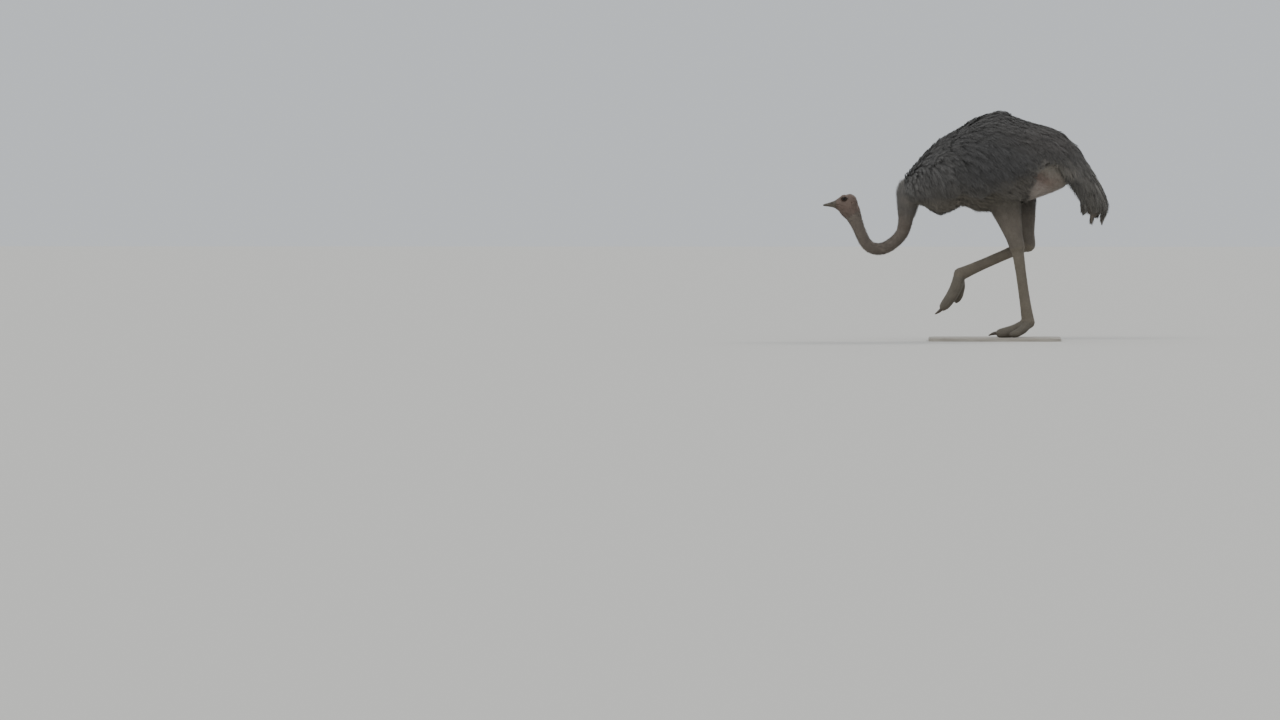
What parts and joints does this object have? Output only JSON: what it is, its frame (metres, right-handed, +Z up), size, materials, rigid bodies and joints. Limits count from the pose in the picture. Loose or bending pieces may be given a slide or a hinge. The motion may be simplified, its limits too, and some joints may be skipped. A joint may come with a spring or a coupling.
{
  "type": "ostrich",
  "caption": "Life-size still ostrich hen with folded wings, walking on one foot with the other leg lifted and the neck bent down, on a flat display base.",
  "frame": {"origin": "centre of the underside of the display base, on the floor", "axes": "+X towards the tail (the bird faces -X), +Y towards the bird's right side, +Z up"},
  "size_m": [1.6413, 0.531, 1.326],
  "materials": {
    "body_plumage": "soft matt feathers",
    "wing_plumage": "soft matt feathers",
    "tail_plumage": "soft matt feathers",
    "neck_skin": "matt, thin grey-brown down",
    "head_skin": "matt, sparse bristles",
    "leg_skin": "matt, scaled",
    "horn": "satin horn",
    "eye": "wet gloss",
    "base_board": "matt stained board"
  },
  "bodies": {
    "root": {"trunk": "body_plumage", "wing_left": "wing_plumage", "wing_right": "wing_plumage", "tail": "tail_plumage", "neck_base": "neck_skin", "neck_lower": "neck_skin", "neck_bend": "neck_skin", "neck_upper": "neck_skin", "head": "head_skin", "bill_upper": "horn", "bill_lower": "horn", "eye_left": "eye", "eye_right": "eye", "leg_upper_left": "leg_skin", "leg_lower_left": "leg_skin", "toe_large_left": "leg_skin", "toe_small_left": "leg_skin", "claw_left": "horn", "leg_upper_right": "leg_skin", "leg_lower_right": "leg_skin", "toe_large_right": "leg_skin", "toe_small_right": "leg_skin", "claw_right": "horn", "stand_base": "base_board"}
  },
  "joints": []
}
